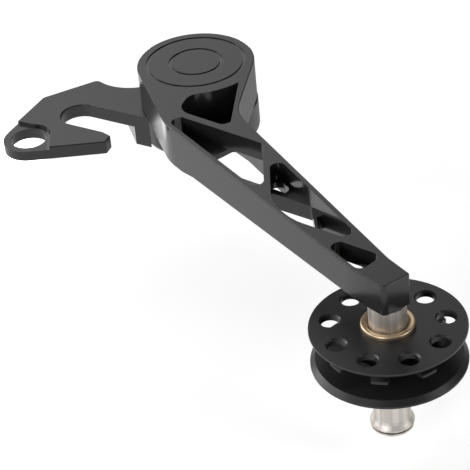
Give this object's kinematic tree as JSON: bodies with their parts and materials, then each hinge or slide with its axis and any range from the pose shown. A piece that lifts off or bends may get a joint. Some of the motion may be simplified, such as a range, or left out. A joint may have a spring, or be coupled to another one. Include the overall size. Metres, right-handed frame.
{
  "type": "bicycle chain tensioner",
  "caption": "Chain tensioner for a folding bicycle: hooked bracket with an eye, sprung swing arm with an X lattice, and a flanged toothed pulley that slides on a steel shaft.",
  "frame": {"origin": "on the axis of the bracket's eye, in the lower face of its plate", "axes": "+Z along the eye and the swing pivot, from the boss towards the arm's head; +X from the eye to the swing pivot; +Y makes it right-handed, the arm hanging towards -Y at rest"},
  "size_m": [0.108, 0.1846, 0.0539],
  "materials": {
    "black_aluminium": "satin black anodised, milled",
    "steel": "polished",
    "bronze": "turned, smooth",
    "spring_steel": "drawn wire",
    "nylon": "smooth"
  },
  "bodies": {
    "bracket": {"hook_bracket": "black_aluminium", "upper_pivot_bush": "bronze", "lower_pivot_bush": "bronze", "stop_pin": "steel", "torsion_spring": "spring_steel", "thrust_washer": "nylon"},
    "arm": {"swing_arm": "black_aluminium", "pivot_bolt": "steel", "bolt_washer": "steel", "idler_shaft": "steel"},
    "bush": {"idler_bush": "bronze", "bush_ring": "bronze"},
    "pulley": {"upper_flange": "black_aluminium", "toothed_wheel": "black_aluminium", "lower_flange": "black_aluminium"}
  },
  "joints": [
    {"name": "arm_pivot", "type": "hinge", "parent": "bracket", "child": "arm", "pos_m": [0.058, 0, 0.0052], "axis": [0, 0, 1], "range_deg": [0, 75], "stiffness_Nm_per_rad": 0.8, "springref_deg": -60.16, "deforming": ["torsion_spring"]},
    {"name": "idler_slide", "type": "slide", "parent": "arm", "child": "bush", "axis": [0, 0, 1], "range_m": [-0.0179, 0.0064]},
    {"name": "pulley_spin", "type": "hinge", "parent": "bush", "child": "pulley", "pos_m": [0.07707, -0.13567, -0.0047], "axis": [0, 0, 1], "continuous": true}
  ]
}
